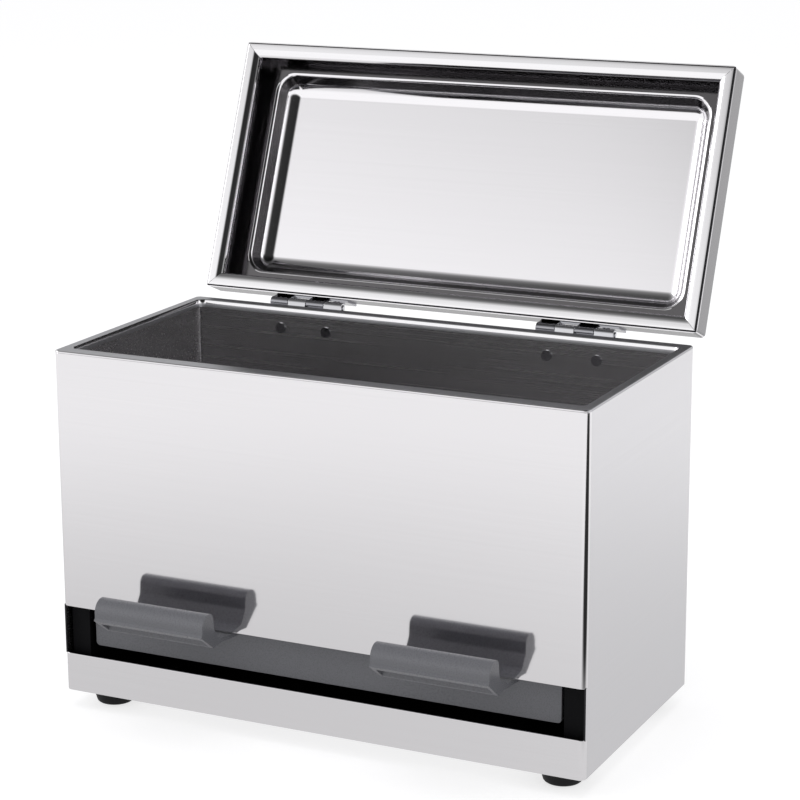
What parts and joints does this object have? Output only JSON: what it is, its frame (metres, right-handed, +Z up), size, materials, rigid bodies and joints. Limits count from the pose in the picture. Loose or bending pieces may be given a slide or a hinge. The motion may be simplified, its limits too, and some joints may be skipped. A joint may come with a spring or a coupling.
{
  "type": "straw case",
  "caption": "Table-top steel straw case with a hinged lid and a counterweighted rocker that lifts a straw to the front.",
  "frame": {"origin": "on the table under the middle of the steel box, in the plane of the feet's undersides", "axes": "+Z up, -Y out of the front with the dispensing slot, +X to the right seen from the front"},
  "size_m": [0.23, 0.1984, 0.258],
  "materials": {
    "brushed_steel": "fine brushed sheet",
    "polished_steel": "polished sheet",
    "inner_steel": "bright sheet inside",
    "hinge_steel": "polished",
    "fastener_steel": "zinc plated",
    "rocker_plastic": "moulded satin",
    "tray_plastic": "moulded black",
    "bush_plastic": "natural bearing plastic",
    "foot_rubber": "matt rubber"
  },
  "bodies": {
    "case": {"side_back_shell": "brushed_steel", "front_panel": "polished_steel", "lower_front_strip": "polished_steel", "base_pan": "inner_steel", "mouth_rim": "brushed_steel", "hopper_ramp": "inner_steel", "mechanism_tray": "tray_plastic", "tray_screws": "fastener_steel", "rest_pad": "foot_rubber", "left_axle_bush": "bush_plastic", "right_axle_bush": "bush_plastic", "foot_screws": "fastener_steel", "foot_nuts": "fastener_steel", "foot_front_left": "foot_rubber", "foot_back_left": "foot_rubber", "foot_front_right": "foot_rubber", "foot_back_right": "foot_rubber", "hinge_box_rivets": "hinge_steel", "left_hinge_box_leaf": "hinge_steel", "left_hinge_pin": "hinge_steel", "right_hinge_box_leaf": "hinge_steel", "right_hinge_pin": "hinge_steel"},
    "lid": {"lid_shell": "polished_steel", "lid_rim_front": "polished_steel", "lid_rim_back": "polished_steel", "lid_rim_left": "polished_steel", "lid_rim_right": "polished_steel", "left_hinge_lid_leaf": "hinge_steel", "right_hinge_lid_leaf": "hinge_steel", "hinge_lid_rivets": "hinge_steel"},
    "rocker": {"rocker": "rocker_plastic", "rocker_axle": "fastener_steel", "counterweight_bar": "fastener_steel"}
  },
  "joints": [
    {"name": "lid_hinge", "type": "hinge", "parent": "case", "child": "lid", "pos_m": [0, 0.061, 0.1517], "axis": [1, 0, 0], "range_deg": [0, 112.3]},
    {"name": "rocker_pivot", "type": "hinge", "parent": "case", "child": "rocker", "pos_m": [0, -0.0155, 0.0395], "axis": [1, 0, 0], "range_deg": [0, 12]}
  ]
}
